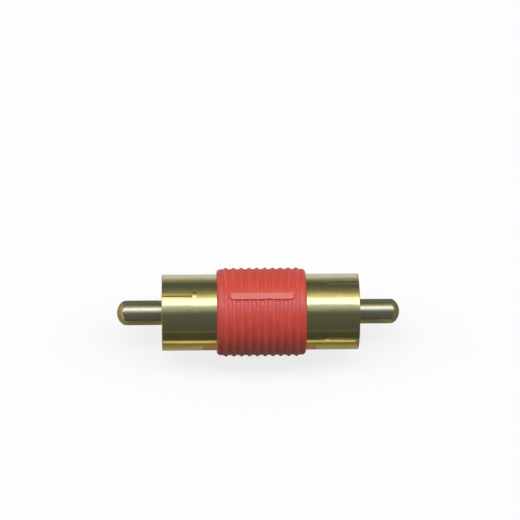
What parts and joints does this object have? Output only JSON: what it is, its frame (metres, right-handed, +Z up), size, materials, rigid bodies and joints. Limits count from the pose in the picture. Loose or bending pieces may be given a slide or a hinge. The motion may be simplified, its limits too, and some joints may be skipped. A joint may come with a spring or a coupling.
{
  "type": "phono plug coupler",
  "caption": "Straight double-ended phono plug: slotted gold-plated shells and centre pins back to back, joined by a ribbed soft red grip.",
  "frame": {"origin": "on the coupler's axis, half-way between the two pin tips", "axes": "+X along the axis towards the right-hand plug, +Z up through the raised bar on the grip, +Y away from the viewer who has the right-hand plug on the right"},
  "size_m": [0.0364, 0.0114, 0.0116],
  "materials": {
    "gold_plate": "polished thin gold plate on turned brass",
    "pin_plate": "polished gold plate, a little greyer than the shells",
    "grip_red": "soft moulded red plastic, satin",
    "insulator": "natural white moulded plastic",
    "sleeve": "plain grey plastic sleeve",
    "tube_brass": "bare turned brass",
    "tinned_wire": "tinned copper wire"
  },
  "bodies": {
    "root": {"left_shell": "gold_plate", "right_shell": "gold_plate", "left_insulator": "insulator", "right_insulator": "insulator", "left_pin": "pin_plate", "right_pin": "pin_plate", "pin_link": "tinned_wire", "link_sleeve": "sleeve", "ground_tube": "tube_brass", "grip": "grip_red"}
  },
  "joints": []
}
